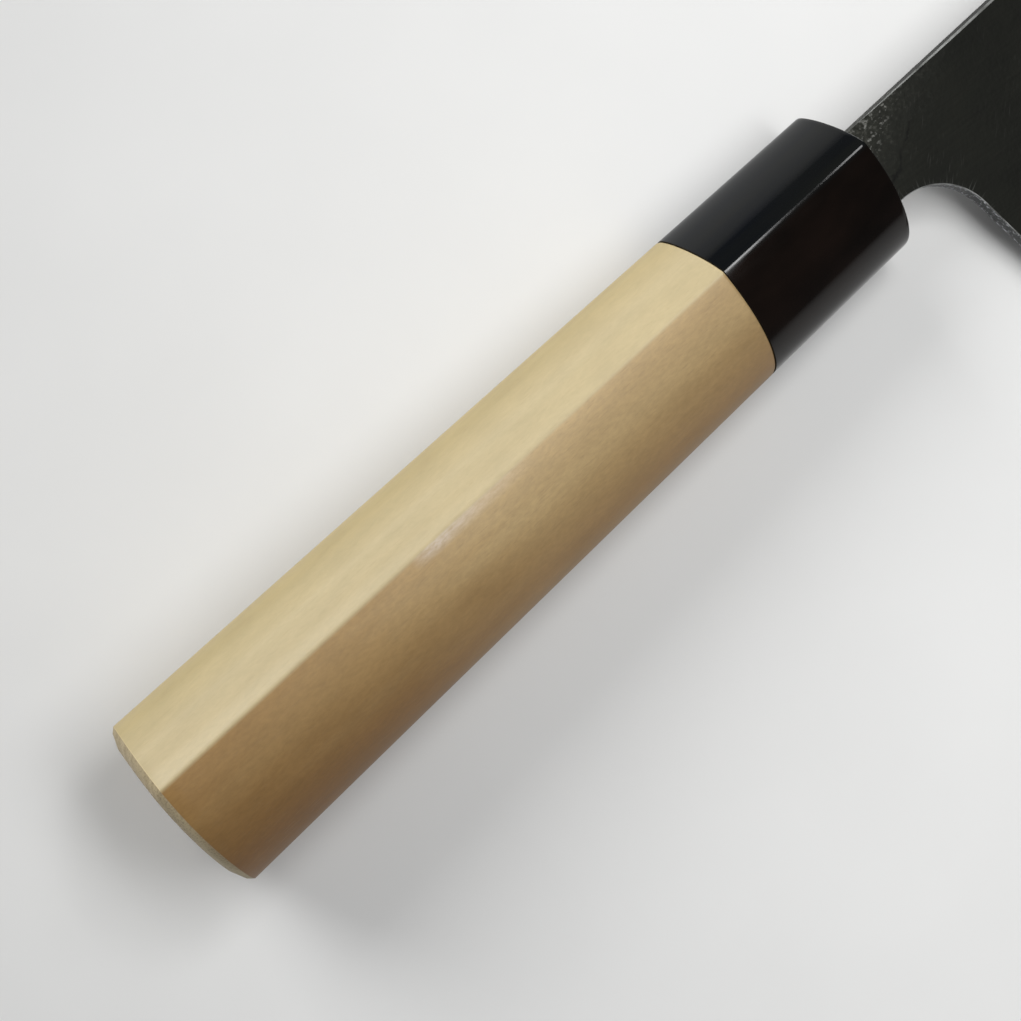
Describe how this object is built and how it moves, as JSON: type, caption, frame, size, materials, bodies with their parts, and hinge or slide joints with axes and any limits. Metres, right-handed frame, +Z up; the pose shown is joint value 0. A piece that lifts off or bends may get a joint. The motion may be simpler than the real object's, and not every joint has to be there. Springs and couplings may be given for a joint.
{
  "type": "funayuki kitchen knife",
  "caption": "Japanese kitchen knife with a three-layer forged blade, black horn ferrule and D-section wooden handle, lying on its left side.",
  "frame": {"origin": "centre of the knife's box on the surface it lies on", "axes": "+X along the knife from butt to tip, +Y from the cutting edge to the spine, +Z up out of the right side"},
  "size_m": [0.308, 0.0544, 0.026],
  "materials": {
    "core_steel": "ground",
    "cladding_iron": "forge black",
    "black_horn": "polished",
    "pale_wood": "sanded",
    "pine_resin": "set resin"
  },
  "bodies": {
    "root": {"blade_core": "core_steel", "blade_cladding_right": "cladding_iron", "blade_cladding_left": "cladding_iron", "ferrule_horn": "black_horn", "handle_wood": "pale_wood", "tang_bedding": "pine_resin"}
  },
  "joints": []
}
